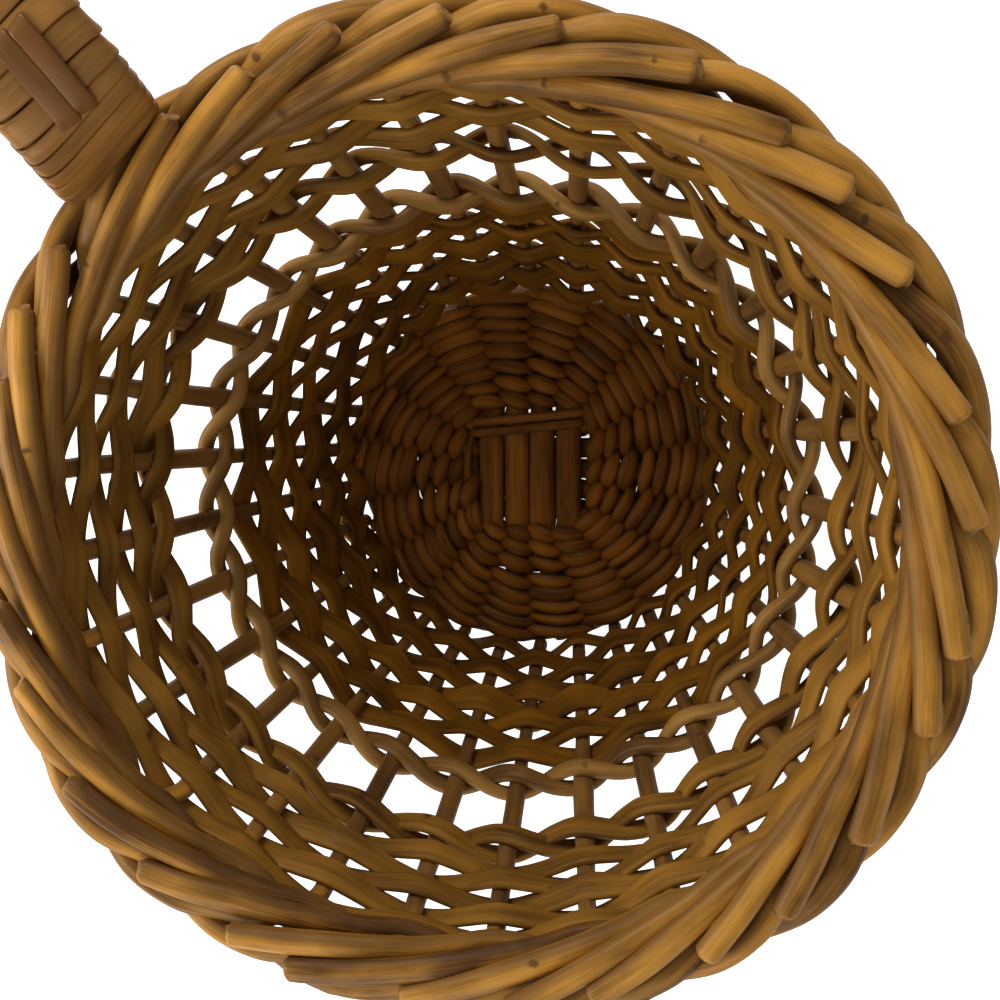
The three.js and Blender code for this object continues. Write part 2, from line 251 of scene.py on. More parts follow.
def fibreNoise(tree, fibre, kind):
    # Noise that is stretched along the rod: kind holds its scales across and along, detail and roughness
    across, along, detail, rough = kind
    stretch = tree.nodes.new("ShaderNodeVectorMath")
    stretch.operation = "MULTIPLY"
    tree.links.new(fibre, stretch.inputs[0])
    stretch.inputs[1].default_value = (across, across, along)
    node = tree.nodes.new("ShaderNodeTexNoise")
    tree.links.new(stretch.outputs[0], node.inputs["Vector"])
    for label, number in (("Scale", 1), ("Detail", detail), ("Roughness", rough)):
        node.inputs[label].default_value = number
    return node.outputs["Fac"]


def ranged(tree, value, low, high, newLow=0.0, newHigh=1.0):
    node = tree.nodes.new("ShaderNodeMapRange")
    tree.links.new(value, node.inputs["Value"])
    for label, number in (("From Min", low), ("From Max", high), ("To Min", newLow), ("To Max", newHigh)):
        node.inputs[label].default_value = number
    return node.outputs["Result"]


grain = {
    "broad": (420, 22, 4, 0.6), "fine": (2600, 70, 3, 0.6), "cloud": (130, 55, 3, 0.5),
    "broadShare": 0.6, "fineShare": 0.4,
    "streakRange": (0.34, 0.66), "cloudRange": (0.3, 0.7),
    "stain": 0.75,  # how much the cloudy stain changes the colour
    "middle": 0.55,  # the level between dark and light that the rest is added to
}


def makeWillowGrain():
    # Streaks along the rod, cloudy stain and fine ridges
    group, given, result = openGroup(
        "willowGrain",
        [
            ("Fibre", "NodeSocketVector", None),
            ("Tone", "NodeSocketFloat", 0.5),
            ("Light", "NodeSocketColor", (0.5, 0.3, 0.1, 1)),
            ("Dark", "NodeSocketColor", (0.2, 0.1, 0.03, 1)),
            ("Streaks", "NodeSocketFloat", 0.5),
            ("Rod Difference", "NodeSocketFloat", 0.3),
        ],
        [("Color", "NodeSocketColor"), ("Ridges", "NodeSocketFloat"), ("Streak", "NodeSocketFloat")],
    )
    broad = fibreNoise(group, given["Fibre"], grain["broad"])
    fine = fibreNoise(group, given["Fibre"], grain["fine"])
    broad = mathNode(group, "MULTIPLY", broad, grain["broadShare"])
    fine = mathNode(group, "MULTIPLY", fine, grain["fineShare"])
    ridges = mathNode(group, "ADD", broad, fine)
    streak = ranged(group, ridges, *grain["streakRange"])
    shade = mathNode(group, "MULTIPLY", mathNode(group, "SUBTRACT", streak, 0.5), given["Streaks"])
    cloud = ranged(group, fibreNoise(group, given["Fibre"], grain["cloud"]), *grain["cloudRange"])
    stain = mathNode(group, "MULTIPLY", mathNode(group, "SUBTRACT", cloud, 0.5), grain["stain"])
    tone = mathNode(group, "SUBTRACT", given["Tone"], 0.5)
    own = mathNode(group, "MULTIPLY", tone, given["Rod Difference"])
    level = mathNode(group, "ADD", mathNode(group, "ADD", shade, stain), own)
    level = mathNode(group, "ADD", level, grain["middle"], clamp=True)
    group.links.new(mixColour(group, level, given["Dark"], given["Light"]), result["Color"])
    group.links.new(ridges, result["Ridges"])
    group.links.new(streak, result["Streak"])
    return group


marking = {
    "speck": (900, 420, 2, 0.5), "scuff": (700, 90, 5, 0.7),
    "speckShare": 0.5,  # how much specks break up a knot
    "knotRange": (0.62, 0.95), "scuffRange": (0.61, 0.72),
    "scuffDepth": 0.55, "markDepth": 0.8, "cutDepth": 0.6,
    "knotColour": (0.06, 0.025, 0.01, 1), "cutColour": (0.36, 0.2, 0.07, 1),
    # the colour of the painted shade
    "shadeColour": (0.09, 0.045, 0.02, 1),
}


def makeKnotsAndCuts():
    # Dark leaf knots and scuffs, cut ends in a colour of their own, and painted shade where a rod is
    # tucked in under others
    group, given, result = openGroup(
        "knotsAndCuts",
        [
            ("Color", "NodeSocketColor", (0.4, 0.25, 0.1, 1)),
            ("Fibre", "NodeSocketVector", None),
            ("Knot", "NodeSocketFloat", 0.0),
            ("Cut", "NodeSocketFloat", 0.0),
            ("Tuck", "NodeSocketFloat", 0.0),
            ("Knot Colour", "NodeSocketColor", marking["knotColour"]),
            ("Cut Colour", "NodeSocketColor", marking["cutColour"]),
            ("Shade Colour", "NodeSocketColor", marking["shadeColour"]),
            ("Shade Strength", "NodeSocketFloat", 0.4),
        ],
        [("Color", "NodeSocketColor"), ("Smooth", "NodeSocketFloat")],
    )
    speck = fibreNoise(group, given["Fibre"], marking["speck"])
    speck = mathNode(group, "MULTIPLY", speck, marking["speckShare"])
    knot = ranged(group, mathNode(group, "ADD", given["Knot"], speck), *marking["knotRange"])
    scuff = ranged(group, fibreNoise(group, given["Fibre"], marking["scuff"]), *marking["scuffRange"])
    mark = mathNode(group, "MAXIMUM", knot, mathNode(group, "MULTIPLY", scuff, marking["scuffDepth"]))
    dark = mathNode(group, "MULTIPLY", mark, marking["markDepth"])
    colour = mixColour(group, dark, given["Color"], given["Knot Colour"])
    cut = mathNode(group, "MULTIPLY", given["Cut"], marking["cutDepth"])
    colour = mixColour(group, cut, colour, given["Cut Colour"])
    # painted shade: the shading mask times its strength, mixed towards the shade colour
    shadeShare = mathNode(group, "MULTIPLY", given["Tuck"], given["Shade Strength"])
    colour = mixColour(group, shadeShare, colour, given["Shade Colour"])
    rough = mathNode(group, "MAXIMUM", mark, given["Cut"])
    group.links.new(colour, result["Color"])
    group.links.new(mathNode(group, "SUBTRACT", 1.0, rough), result["Smooth"])
    return group


willowGrain = makeWillowGrain()
knotsAndCuts = makeKnotsAndCuts()


def linear(value):
    # From a screen value of 0 to 255 to the linear one that shaders use
    if value <= 10:
        return value / 255 / 12.92
    return ((value / 255 + 0.055) / 1.055) ** 2.4


def tint(red, green, blue):
    return linear(red), linear(green), linear(blue)


varnish = {
    "glow": tint(255, 214, 150),  # the colour of its shine
    "roughness": 0.38,
    "ridgeHeight": 0.00025,  # in metres
    "markRoughness": 0.25,  # how much rougher knots, scuffs and cuts are
}


def makeFinish(name, look):
    material = bpy.data.materials.new(name)
    material.use_nodes = True
    tree = material.node_tree
    shader = tree.nodes["Principled BSDF"]
    read = {}
    for label in ("fibre", "tone", "knot", "cut", "tuck"):
        node = tree.nodes.new("ShaderNodeAttribute")
        node.attribute_name = label
        read[label] = node.outputs["Vector" if label == "fibre" else "Fac"]
    fibres = tree.nodes.new("ShaderNodeGroup")
    fibres.node_tree = willowGrain
    marks = tree.nodes.new("ShaderNodeGroup")
    marks.node_tree = knotsAndCuts
    for label in ("Fibre", "Tone"):
        tree.links.new(read[label.lower()], fibres.inputs[label])
    fibres.inputs["Light"].default_value = (*look["light"], 1)
    fibres.inputs["Dark"].default_value = (*look["dark"], 1)
    fibres.inputs["Streaks"].default_value = look["streaks"]
    fibres.inputs["Rod Difference"].default_value = look["rodDifference"]
    tree.links.new(fibres.outputs["Color"], marks.inputs["Color"])
    for label in ("Fibre", "Knot", "Cut", "Tuck"):
        tree.links.new(read[label.lower()], marks.inputs[label])
    marks.inputs["Shade Strength"].default_value = look["shadeStrength"]
    tree.links.new(marks.outputs["Color"], shader.inputs["Base Color"])
    smoothest, roughest = look["rough"]
    rough = ranged(tree, fibres.outputs["Streak"], 0, 1, roughest, smoothest)
    worn = mathNode(tree, "SUBTRACT", 1.0, marks.outputs["Smooth"])
    rough = mathNode(tree, "ADD", rough, mathNode(tree, "MULTIPLY", worn, varnish["markRoughness"]))
    tree.links.new(rough, shader.inputs["Roughness"])
    bump = tree.nodes.new("ShaderNodeBump")
    bump.inputs["Strength"].default_value = look["ridges"]
    bump.inputs["Distance"].default_value = varnish["ridgeHeight"]
    tree.links.new(fibres.outputs["Ridges"], bump.inputs["Height"])
    tree.links.new(bump.outputs["Normal"], shader.inputs["Normal"])
    shader.inputs["Coat Weight"].default_value = look["varnish"]
    shader.inputs["Coat Roughness"].default_value = varnish["roughness"]
    shader.inputs["Specular IOR Level"].default_value = look["shine"]
    shader.inputs["Specular Tint"].default_value = (*varnish["glow"], 1)
    shader.inputs["Coat Tint"].default_value = (*varnish["glow"], 1)
    return material


# The willows grow darker from the border down to the base: partly their own darker stain, partly painted
# shade for the inside of the bowl. shadeStrength is how strongly the painted shade mask darkens each
looks = {
    "borderWillow": {
        "light": tint(206, 148, 60), "dark": tint(86, 51, 16), "streaks": 0.7, "rodDifference": 0.5,
        "shadeStrength": 0.9, "rough": (0.38, 0.6), "ridges": 0.6, "varnish": 0.1, "shine": 0.32,
    },
    "weaverWillow": {
        "light": tint(164, 116, 40), "dark": tint(78, 48, 14), "streaks": 0.8, "rodDifference": 0.5,
        "shadeStrength": 0.7, "rough": (0.46, 0.64), "ridges": 0.5, "varnish": 0.08, "shine": 0.25,
    },
    "pairWillow": {
        "light": tint(184, 138, 70), "dark": tint(96, 64, 28), "streaks": 0.8, "rodDifference": 0.4,
        "shadeStrength": 0.75, "rough": (0.44, 0.62), "ridges": 0.5, "varnish": 0.1, "shine": 0.3,
    },
    "lowerWillow": {
        "light": tint(164, 108, 24), "dark": tint(76, 46, 8), "streaks": 0.8, "rodDifference": 0.5,
        "shadeStrength": 0.7, "rough": (0.5, 0.68), "ridges": 0.5, "varnish": 0.04, "shine": 0.15,
    },
    "baseWillow": {
        "light": tint(162, 98, 22), "dark": tint(62, 33, 4), "streaks": 0.8, "rodDifference": 0.12,
        "shadeStrength": 0.95, "rough": (0.42, 0.6), "ridges": 0.5, "varnish": 0.1, "shine": 0.25,
    },
    "handleCane": {
        "light": tint(170, 124, 62), "dark": tint(110, 75, 38), "streaks": 0.6, "rodDifference": 0.2,
        "shadeStrength": 0.5, "rough": (0.3, 0.48), "ridges": 0.25, "varnish": 0.3, "shine": 0.4,
    },
    "handleStrip": {
        "light": tint(136, 92, 50), "dark": tint(94, 60, 30), "streaks": 0.5, "rodDifference": 0.15,
        "shadeStrength": 0.4, "rough": (0.3, 0.46), "ridges": 0.25, "varnish": 0.3, "shine": 0.4,
    },
}
finishes = {name: makeFinish(name, look) for name, look in looks.items()}
print("finishes made:", len(finishes))


# Places on the bowl
def around(angle, radius, height):
    turn = math.radians(angle)
    return np.array([radius * math.cos(turn), radius * math.sin(turn), height])


def shortWay(angle):
    # The same angle between -180 and 180 degrees
    return (angle + 180) % 360 - 180


wallDice = np.random.default_rng(bowl["seed"])
stakeOff = wallDice.uniform(-bowl["stakeDrift"], bowl["stakeDrift"], bowl["stakes"])
wallLine, _ = evenLine(np.array([(radius, height, 0) for radius, height in bowl["line"]], float), 1)


def stakeAngle(place):
    # place counts stakes, and may lie between two of them
    low = math.floor(place)
    share = place - low
    off = stakeOff[low % bowl["stakes"]] * (1 - share) + stakeOff[(low + 1) % bowl["stakes"]] * share
    return bowl["firstStake"] + place * stakeStep + off


def onWall(place, height, out=0.0, up=0.0):
    # A point on the wall moved out from it and up along it, with the way that the wall looks there
    radius = np.interp(height, wallLine[:, 1], wallLine[:, 0])
    slope = np.interp(height + 1, wallLine[:, 1], wallLine[:, 0]) - radius
    rise = unit(np.array([slope, 1.0]))
    angle = stakeAngle(place)
    at = around(angle, radius + out * rise[1] + up * rise[0], height - out * rise[0] + up * rise[1])
    look = around(angle, rise[1], -rise[0])
    return at, look


# Stakes: up the wall, over, round the outside of the border, in under it and out again over the top
stake = {
    "section": {
        "width": 3.9, "thickness": 3.8, "corner": 2.1, "sides": 14, "step": 1.2, "wander": 0.12,
        "twist": 0.15, "uneven": 0.07, "broad": 0.06, "knotSpace": 30, "knotSwell": 0.16, "slant": 0.5,
        "roundEnd": 0.4, "endLength": 1.3, "edgeShade": 0.8,
    },
    "seed": 100, "borderSeed": 700,  # the first stake's, and each next one has one more
    "wallStops": range(4, 90, 6),  # heights on the wall
    "plumpness": [(4, 0.82), (44, 0.82), (52, 1.08), (66, 1.08), (74, 1)],  # its size at heights
    "pitch": 4.1,  # from one rod of the border to the next
    "bulge": (1.36, 1.12),  # how much wider and thicker a rod is in the border
    "ownBulge": (0.9, 1.1),  # shares of that for a single rod
    "swells": [  # shares of it at places along the border, in stakes
        (0, 0.8), (0.5, 1.45), (1.25, 1.45), (1.8, 0.7), (3.3, 0.9), (4.5, 0.7), (5.3, 1),
    ],
    "borderLook": (0.5, 0.9),  # the way that a rod's face looks there, out and up
    "loose": 0.16,  # how far a rod may wander in the border
    "ownPlace": 0.11,  # how far a whole rod may lie off its place there, in pitches
    "endDrift": 0.22,  # how far its end may, in stakes
    "endPeak": 6,  # higher for ends that leave their place later
    "footTips": (8, 16), "footCut": 0.45,  # ends at these degrees are shorter, for the handle's foot
    "shades": [(0.7, 0.06, 1), (0.465, 0.02, 0.7)],  # painted shade where its neighbours lie over it: where, how long and how dark
    "shadeBelow": 88, "shadeFade": 6, "shadeDepth": 0.7,  # and painted shade on the wall, below this height
    "upright": 0.6,  # which takes up this share of its length
}
# The border's line: stakes along, and pitches out from the rim and up from the turn
borderRun = [
    (0.45, 0.5, 1.05), (0.75, 0.9, 1.2), (1.25, 1.75, 1.35), (1.75, 2.1, 1.05), (2.25, 1.98, 0.25),
    (2.75, 1.35, -0.1), (3.25, 0.55, -0.15), (3.7, -0.5, 0.0), (4, -0.8, 0.25), (4.4, -0.82, 0.95),
    (4.8, -0.78, 1.5), (5.25, -0.62, 1.98), (5.75, -0.24, 2.32), (6.25, 0.38, 2.46), (6.8, 1.3, 2.4),
]
borderLength = borderRun[-1][0]


def stakeStops(n):
    dice = np.random.default_rng(stake["borderSeed"] + n)
    stops = []
    for height in stake["wallStops"]:
        at, look = onWall(n, height)
        share = np.interp(height, *zip(*stake["plumpness"]))
        stops.append([*at, *look, share, share])
    wide, thick = stake["bulge"]
    plump = dice.uniform(*stake["ownBulge"])
    aside, raised, splay = dice.uniform(-1, 1, 3) * stake["ownPlace"]
    longer = dice.uniform(-1, 1) * stake["endDrift"]
    first, last = stake["footTips"]
    if first < shortWay(stakeAngle(n - borderLength - longer)) < last:
        longer = -stake["footCut"]
    for along, out, rise in borderRun:
        late = (along / borderLength) ** stake["endPeak"]
        along += longer * late
        angle = stakeAngle(n - along)
        fromBulge = shortWay(angle - bowl["bulgeAt"]) / bowl["bulgeReach"]
        sag = bowl["rimBulge"] * math.exp(-(fromBulge**2))
        radius = bowl["rimRadius"] + sag + (out + aside + splay * late) * stake["pitch"]
        height = bowl["turnHeight"] + (rise + raised) * stake["pitch"]
        radius, height = (value + dice.uniform(-1, 1) * stake["loose"] for value in (radius, height))
        broad = 1 + (wide * plump - 1) * np.interp(along, *zip(*stake["swells"]))
        look = around(angle, *stake["borderLook"])
        stops.append([*around(angle, radius, height), *look, broad, thick])
    return stops


def stakeShade(share, rings):
    # Painted shade where its neighbours lie over it, and on the wall
    inside = 0
    for middle, reach, dark in stake["shades"]:
        inside = inside + dark * np.exp(-(((share - middle) / reach) ** 2))
    low = np.clip((stake["shadeBelow"] - rings[:, 2]) / stake["shadeFade"], 0, stake["shadeDepth"])
    return np.maximum(inside, low * (share < stake["upright"]))


for n in range(bowl["stakes"]):
    layRod(
        f"willowStake{n + 1:02d}", f"stake_{n + 1:02d}", stakeStops(n), stake["section"],
        stake["seed"] + n, finishes["borderWillow"], stakeShade,
    )
print("stakes laid:", bowl["stakes"])


# Wall weavers: in front of one stake and behind the next, climbing round the wall
weaving = {
    "begins": 1.15, "ends": 0.85,  # stakes before its own place to start and before the next one's
    "stopsPerStake": 6,
    "lapReach": 0.8,  # how far from its ends it makes way for another one's end, in stakes
    "fullness": 0.88,  # towards 1 for sharper bends between the stakes
    "shade": 0.25,  # how dark weavers and pairs are all along
}
lowerWeave = {
    "count": 4, "turns": 2, "start": 7.2, "end": 45.4, "swing": 2.5, "narrow": 0.9, "lap": 0.7,
    "seed": 200, "finish": "lowerWillow",
    "section": {
        "width": 6.6, "thickness": 1.6, "corner": 4.2, "sides": 14, "step": 1.1, "wander": 0.3,
        "twist": 0.22, "uneven": 0.1, "broad": 0.13, "knotSpace": 70, "knotSwell": 0.1, "slant": 0.2,
        "roundEnd": 0.3, "endLength": 0.4, "edgeShade": 0.4,
    },
}
upperWeave = {
    "count": 2, "turns": 2.5, "start": 70.7, "end": 90.8, "swing": 2.4, "narrow": 0.88, "lap": 0.6,
    "seed": 300, "finish": "weaverWillow",
    "section": {
        "width": 5.25, "thickness": 1.6, "corner": 4.2, "sides": 14, "step": 1.1, "wander": 0.3,
        "twist": 0.25, "uneven": 0.1, "broad": 0.13, "knotSpace": 60, "knotSwell": 0.1, "slant": 0.2,
        "roundEnd": 0.3, "endLength": 0.4, "edgeShade": 0.25,
    },
}


# The same darkening all along the weavers and pairs, given through the painted shade mix
def weaverShade(share, rings):
    return np.full(len(rings), weaving["shade"])


def layWeavers(label, weave):
    # Each weaver begins over the end of the one before
    crossings = bowl["stakes"] * weave["turns"]
    total = crossings * weave["count"]
    reach, full = weaving["lapReach"], weaving["fullness"]
    for n in range(weave["count"]):
        stops = []
        first, last = n * crossings - weaving["begins"], (n + 1) * crossings - weaving["ends"]
        for place in np.linspace(first, last, int((last - first) * weaving["stopsPerStake"]) + 1):
            lap = math.exp(-(((place - first) / reach) ** 2)) - math.exp(-(((last - place) / reach) ** 2))
            climb = (weave["end"] - weave["start"]) * place / total
            height = weave["start"] + climb + weave["lap"] * lap
            swing = math.asin(full * math.cos(math.pi * place)) / math.asin(full)
            at, look = onWall(place, height, -weave["swing"] * swing)
            stops.append([*at, *look, weave["narrow"] + (1 - weave["narrow"]) * abs(swing), 1])
        layRod(
            f"{label}Weaver{n + 1}", f"{label}_weaver_{n + 1}", stops, weave["section"],
            weave["seed"] + n, finishes[weave["finish"]], weaverShade,
        )


layWeavers("lower", lowerWeave)
layWeavers("upper", upperWeave)
print("wall weavers laid")


# Pairs: two rods that twist round each other between the stakes, below and above the open band
pair = {
    "swing": 2.8, "crossing": 1.3,  # how far it goes in and out, and up and down
    "past": 0.15,  # how far its ends go past their stakes, in stakes
    "stopsPerStake": 4,
    "lowerHeight": 50, "upperHeight": 66, "lowerSeed": 400, "upperSeed": 410,
    "section": {
        "width": 4.0, "thickness": 2.8, "corner": 2.2, "sides": 12, "step": 1.0, "wander": 0.15,
        "twist": 0.2, "uneven": 0.07, "broad": 0.06, "knotSpace": 60, "knotSwell": 0.12, "slant": 0.3,
        "roundEnd": 0.25, "endLength": 0.6, "edgeShade": 0.5,
    },
    "flatter": {"width": 4.9, "thickness": 1.8, "corner": 4.0},  # the upper pair's own section
}


def layPair(label, height, section, finish, seed):
    # One goes round from behind the first stake to behind the last, and the other laps both its ends
    past = pair["past"]
    for n, (first, last) in enumerate(((0, bowl["stakes"] - 1), (-1, bowl["stakes"]))):
        stops = []
        for place in np.linspace(first - past, last + past, (last - first) * pair["stopsPerStake"]):
            turn = math.pi * (place + n)
            out, up = pair["swing"] * math.cos(turn), -pair["crossing"] * math.sin(turn)
            at, look = onWall(place, height, out, up)
            stops.append([*at, *look, 1, 1])
        layRod(
            f"{label}PairRod{n + 1}", f"{label}_pair_rod_{n + 1}", stops, section, seed + n,
            finishes[finish], weaverShade,
        )


layPair("lower", pair["lowerHeight"], pair["section"], "pairWillow", pair["lowerSeed"])
flatter = {**pair["section"], **pair["flatter"]}
layPair("upper", pair["upperHeight"], flatter, "weaverWillow", pair["upperSeed"])
print("pairs laid")


# Base: crossed sticks that open into spokes, and a pair of weavers round them
base = {
    "turn": 50,  # which way the bottom sticks lie, in degrees
    "topSticks": 4, "topWidth": 6.1, "topSeed": 520,
    "bottomSticks": 5, "bottomWidth": 4.95, "bottomSeed": 500,
    "thickness": 3.6, "space": 0.1, "layerGap": 0.2,
    "clear": 0.5,  # how high the bottom sticks lie over the ground
    "straight": (0, 0.3, 0.5),  # places on a stick's straight half, in widths of the crossing
    "firstRound": 17.7, "lastRound": 42.6, "rounds": 8,
    # A spoke's three stops: this far before the first round, at this radius, and this far past the last
    "spokeBefore": 1, "spokeMiddle": 30, "spokePast": 0.2,
    "spokeWidths": (4.7, 4.1, 3.2), "spokeThickness": 3.2, "spokeHeights": (5.5, 5.0),
}
stick = {
    "width": 1, "thickness": 1, "corner": 2.3, "sides": 12, "step": 1.0, "wander": 0.08, "twist": 0.08,
    "uneven": 0.05, "broad": 0.03, "knotSpace": 50, "knotSwell": 0.08, "slant": 0.2, "roundEnd": 0.25,
    "endLength": 0.6, "edgeShade": 0.6,
}
spokes = 2 * (base["topSticks"] + base["bottomSticks"])


def spokeHeight(radius):
    share = (radius - base["firstRound"]) / (base["lastRound"] - base["firstRound"])
    return base["spokeHeights"][0] * (1 - share) + base["spokeHeights"][1] * share


def laySticks(label, crossing, height, turn):
    # crossing is how wide the sticks that it lies across are together
    count, width = base[f"{label}Sticks"], base[f"{label}Width"]
    nearest, farthest = base["firstRound"] - base["spokeBefore"], base["lastRound"] + base["spokePast"]
    for n in range(count):
        row = n - (count - 1) / 2
        fan = math.radians(row * 360 / spokes)
        beside = row * (width + base["space"])
        half = [(crossing * part, beside, height, width, base["thickness"]) for part in base["straight"]]
        for radius, wide in zip((nearest, base["spokeMiddle"], farthest), base["spokeWidths"]):
            away = (radius * math.cos(fan), radius * math.sin(fan))
            half.append((*away, spokeHeight(radius), wide, base["spokeThickness"]))
        otherHalf = [(-along, *rest) for along, *rest in reversed(half[1:])]
        stops = []
        for along, aside, z, wide, thick in otherHalf + half:
            at = around(turn, 1, 0) * along + around(turn + 90, 1, 0) * aside
            stops.append([at[0], at[1], z, 0, 0, 1, wide, thick])
        layRod(
            f"{label}Stick{n + 1}", f"{label}_base_stick_{n + 1}", stops, stick,
            base[f"{label}Seed"] + n, finishes["baseWillow"],
        )


topAcross = base["topSticks"] * (base["topWidth"] + base["space"])
bottomAcross = base["bottomSticks"] * (base["bottomWidth"] + base["space"])
lowLevel = base["clear"] + base["thickness"] / 2
highLevel = lowLevel + base["thickness"] + base["layerGap"]
laySticks("bottom", topAcross, lowLevel, base["turn"])
laySticks("top", bottomAcross, highLevel, base["turn"] + 90)

baseWeaver = {
    "section": {
        "width": 3.9, "thickness": 3.1, "corner": 2.0, "sides": 12, "step": 0.7, "wander": 0.2,
        "twist": 0.3, "uneven": 0.14, "broad": 0.1, "knotSpace": 70, "knotSwell": 0.12, "slant": 0.2,
        "roundEnd": 0.3, "endLength": 0.5, "edgeShade": 0.9,
    },
    "seed": 540,
    "lift": 2.6, "steep": 0.8,  # how high a stroke goes over a spoke, and how steeply it dives beside it
    "apart": 0.8,  # how far the two stand apart where they cross
    "plump": (0.7, 0.3),  # the share of its width between the spokes, and what is added on them
    "stopsPerSpoke": 8, "firstStop": 4,
    "squareness": 0.2,  # how much nearer the first round comes to the crossing's four sides
    "squareFade": 2.2,  # higher to be round sooner
    "shade": 0.6,  # how dark its painted shade is level with the spokes
    # It starts across the top sticks and goes down beside them: millimetres along and up
    "start": [(-13.6, -2.6), (-12.6, -0.4), (-8, 0.1), (0, 0.2), (8, 0.1), (12.4, -0.4), (13.8, -2.6)],
    "startAhead": 10.4, "startNext": 2.6,  # how far from the middle, and how much farther the second is
    "startSlope": 0.1, "startLevel": 1.1, "startSize": (0.58, 0.6),
}


def baseShade(share, rings):
    # Painted shade where a stroke dives between the spokes
    low = spokeHeight(np.hypot(rings[:, 0], rings[:, 1])) - rings[:, 2]
    return np.clip(baseWeaver["shade"] + low / baseWeaver["lift"], 0, 1)


def layBaseWeavers():
    ahead, right = -around(base["turn"] + 90, 1, 0), around(base["turn"], 1, 0)
    level = base["clear"] + base["thickness"] * 2 + baseWeaver["startLevel"]
    steps = baseWeaver["stopsPerSpoke"]
    spokesPassed = spokes * base["rounds"]
    for n in range(2):
        stops = []
        for aside, lift in baseWeaver["start"]:
            forward = baseWeaver["startAhead"] + baseWeaver["startNext"] * n
            at = ahead * (forward - baseWeaver["startSlope"] * aside) + right * aside
            stops.append([at[0], at[1], level + lift, 0, 0, 1, *baseWeaver["startSize"]])
        for step in range(baseWeaver["firstStop"], spokesPassed * steps + 1):
            spoke = step / steps
            turn = math.pi * (spoke + n)
            share = spoke / spokesPassed
            fourSides = (1 + math.cos(4 * 2 * math.pi * spoke / spokes)) / 2
            square = baseWeaver["squareness"] * max(1 - share * baseWeaver["squareFade"], 0) * fourSides
            radius = (base["firstRound"] + (base["lastRound"] - base["firstRound"]) * share) * (1 - square)
            over = math.cos(turn)
            lift = baseWeaver["lift"] * math.copysign(abs(over) ** baseWeaver["steep"], over)
            apart = baseWeaver["apart"] * math.sin(turn)
            at = around(base["turn"] + spoke * 360 / spokes, radius + apart, spokeHeight(radius) + lift)
            narrow, fuller = baseWeaver["plump"]
            stops.append([*at, 0, 0, 1, narrow + fuller * abs(over), 1])
        layRod(
            f"baseWeaver{n + 1}", f"base_weaver_{n + 1}", stops, baseWeaver["section"],
            baseWeaver["seed"] + n, finishes["baseWillow"], baseShade,
        )


layBaseWeavers()
print("base laid")


# Handle: four rods side by side in a loop, wrapped with one strip, with two strips laid along the outside
handle = {
    "start": (91.1, 3.4, 99.6), "end": (88.7, 3.4, 87.8),
    "reach": 54.0, "rise": 24.0, "drop": 50.0,
    # The loop from start to end: shares of the reach, and of the rise going up or of the drop coming down
    "rising": [(0, 0), (0.07, 0.42), (0.25, 0.78), (0.5, 0.97), (0.74, 0.93), (0.93, 0.58)],
    "falling": [(1, 0.45), (0.93, 0.72), (0.74, 0.93), (0.47, 1), (0.2, 0.92)],
    "skew": 1.5,  # degrees that the loop is turned from straight out
    "lean": 0.3,  # how far it leans to the side, for each millimetre down
    "lineStep": 0.5,
}
handleRods = {
    "section": {**stick, "width": 5.5, "thickness": 5.5, "corner": 2.0, "step": 1.5},
    "count": 4, "pitch": 5.7, "stops": 40, "seed": 600,
}
wrap = {
    "section": {
        "width": 5.5, "thickness": 0.9, "corner": 5, "sides": 12, "step": 0.9, "wander": 0.04,
        "twist": 0.03, "uneven": 0.02, "broad": 0.02, "knotSpace": 160, "knotSwell": 0.05, "slant": 0,
        "roundEnd": 0.1, "endLength": 0.4, "edgeShade": 0.35,
    },
    "seed": 620,
    "from": 0.9, "to": 9.0,  # how far from the loop's two ends it begins and ends
    "footPitch": 2.8, "pitch": 5.0,  # from turn to turn at the foot and beyond it
    "closeFor": 12, "openedBy": 18,  # how far the closer turns at the foot reach
    "stopsPerTurn": 44,
    "squareness": 5,  # how square a turn is round the rods, where 2 is an ellipse
    "looksFrom": 0.82,  # it looks away from this share of its own way out to the side
    "shingle": 0.16,  # how much each turn lies over the next
    "fan": 0.11,  # how much the first turns lean towards one side of the foot
}
laidStrip = {
    "section": {**wrap["section"], "width": 3.9, "step": 1.0},
    "seed": 630,
    "space": 0.05,  # between the two
    "from": 10, "to": 6,  # how far from the wrap's two ends they begin and end
    "next": 2,  # how much later the second begins
    "stopEvery": 1.5,
    "period": 6,  # turns of the wrap from one dive to the next
    "overFor": 2.35,  # turns that a strip lies over before and after the middle between two dives
    "dive": 0.3,  # turns that it takes to go under
    "hides": 1.9,  # how deep it goes under a turn
    "comesOut": 3,  # how far it takes to come out from under the first turns
}


def handleLine():
    start = np.array(handle["start"])
    shape = [(out, up * handle["rise"]) for out, up in handle["rising"]]
    shape += [(out, handle["rise"] - down * handle["drop"]) for out, down in handle["falling"]]
    points = [start + np.array([out * handle["reach"], 0, up]) for out, up in shape]
    return evenLine(np.array(points + [np.array(handle["end"])]), handle["lineStep"])


strapPoints, strapPlaces = handleLine()
strapLength = strapPlaces[-1]


def strapPoint(distance):
    distance = min(max(distance, 0), strapLength)
    return np.array([np.interp(distance, strapPlaces, strapPoints[:, i]) for i in range(3)])


def onStrap(distance, out, aside):
    tangent = unit(strapPoint(distance + 1) - strapPoint(distance - 1))
    outward = np.array([-tangent[2], 0, tangent[0]])
    at = strapPoint(distance) + outward * out + np.array([0, aside, 0])
    at[1] += (handle["start"][2] - at[2]) * handle["lean"]
    turn = Matrix.Rotation(math.radians(handle["skew"]), 3, "Z")
    start = Vector(handle["start"])
    return np.array(turn @ (Vector(at) - start) + start), np.array(turn @ Vector(outward))


